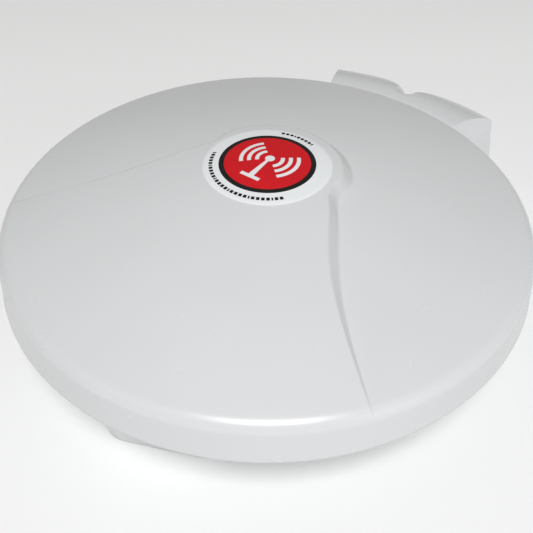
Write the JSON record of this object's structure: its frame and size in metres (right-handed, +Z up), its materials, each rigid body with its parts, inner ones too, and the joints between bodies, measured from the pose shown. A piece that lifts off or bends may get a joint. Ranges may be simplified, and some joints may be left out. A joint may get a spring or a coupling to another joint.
{
  "type": "saucer television antenna",
  "caption": "Round radome TV antenna holding a compact Yagi array, with a lower housing, a rounded vee notch for a mast and a jaw clamp tightened by wing nuts.",
  "frame": {"origin": "on the disc axis, in the plane of the flat underside of the bottom plate", "axes": "+Z up along the disc axis, -Y towards the front (the prow and the directors), +Y towards the mast"},
  "size_m": [0.38, 0.48, 0.1232],
  "materials": {
    "cover_plastic": "glossy white ABS with a faint moulding waviness",
    "underside_plastic": "light grey ABS, fine moulded texture",
    "label_film": "printed self-adhesive film",
    "black_rubber": "EPDM rubber",
    "array_aluminium": "drawn aluminium",
    "cast_alloy": "die-cast alloy, tumbled",
    "black_nylon": "moulded nylon",
    "natural_nylon": "natural nylon",
    "circuit_board": "solder-masked glass epoxy",
    "tinned_steel": "tin-plated steel sheet",
    "cable_jacket": "PVC jacket",
    "nickel_plate": "nickel-plated brass",
    "zinc_plate": "bright zinc plate"
  },
  "bodies": {
    "housing": {"amplifier_board": "circuit_board", "badge_label": "label_film", "balun_board": "circuit_board", "base_tray": "underside_plastic", "board_screw_1": "zinc_plate", "board_screw_2": "zinc_plate", "board_screw_3": "zinc_plate", "board_screw_4": "zinc_plate", "boom": "array_aluminium", "boom_support_front": "natural_nylon", "boom_support_rear": "natural_nylon", "bottom_plate": "underside_plastic", "clamp_bolt_left": "zinc_plate", "clamp_bolt_right": "zinc_plate", "coax_jumper": "cable_jacket", "coax_tail": "cable_jacket", "cover_screw_left_1": "zinc_plate", "cover_screw_left_2": "zinc_plate", "cover_screw_left_3": "zinc_plate", "cover_screw_left_4": "zinc_plate", "cover_screw_right_1": "zinc_plate", "cover_screw_right_2": "zinc_plate", "cover_screw_right_3": "zinc_plate", "cover_screw_right_4": "zinc_plate", "director_rod_1": "array_aluminium", "director_rod_2": "array_aluminium", "director_rod_3": "array_aluminium", "f_socket_body": "nickel_plate", "f_socket_insulator": "natural_nylon", "f_socket_nut": "nickel_plate", "feed_block": "black_nylon", "folded_dipole": "array_aluminium", "lower_housing": "cover_plastic", "plate_screw_left_1": "zinc_plate", "plate_screw_left_2": "zinc_plate", "plate_screw_left_3": "zinc_plate", "plate_screw_right_1": "zinc_plate", "plate_screw_right_2": "zinc_plate", "plate_screw_right_3": "zinc_plate", "reflector_rod": "array_aluminium", "rim_gasket": "black_rubber", "shield_can": "tinned_steel", "socket_housing": "underside_plastic", "top_cover": "cover_plastic", "tray_screw_left_1": "zinc_plate", "tray_screw_left_2": "zinc_plate", "tray_screw_right_1": "zinc_plate", "tray_screw_right_2": "zinc_plate", "vent_plug": "black_rubber"},
    "jaw": {"clamp_jaw": "cast_alloy", "jaw_pad": "black_rubber", "clamp_washer_left": "zinc_plate", "clamp_washer_right": "zinc_plate"},
    "wing_nut_left": {"wing_nut_left": "zinc_plate"},
    "wing_nut_right": {"wing_nut_right": "zinc_plate"}
  },
  "joints": [
    {"name": "wing_nut_left_turn", "type": "hinge", "parent": "jaw", "child": "wing_nut_left", "pos_m": [-0.052, 0.26, 0.022], "axis": [0, 1, 0], "range_deg": [0, 6841]},
    {"name": "wing_nut_right_turn", "type": "hinge", "parent": "jaw", "child": "wing_nut_right", "pos_m": [0.052, 0.26, 0.022], "axis": [0, 1, 0], "range_deg": [0, 6841]},
    {"name": "jaw_slide", "type": "slide", "parent": "housing", "child": "jaw", "axis": [0, 1, 0], "range_m": [0, 0.02375]}
  ],
  "couplings": [
    {"joint": "wing_nut_left_turn", "follows": "jaw_slide", "rad_per_m": 5026.5},
    {"joint": "wing_nut_right_turn", "follows": "jaw_slide", "rad_per_m": 5026.5}
  ]
}
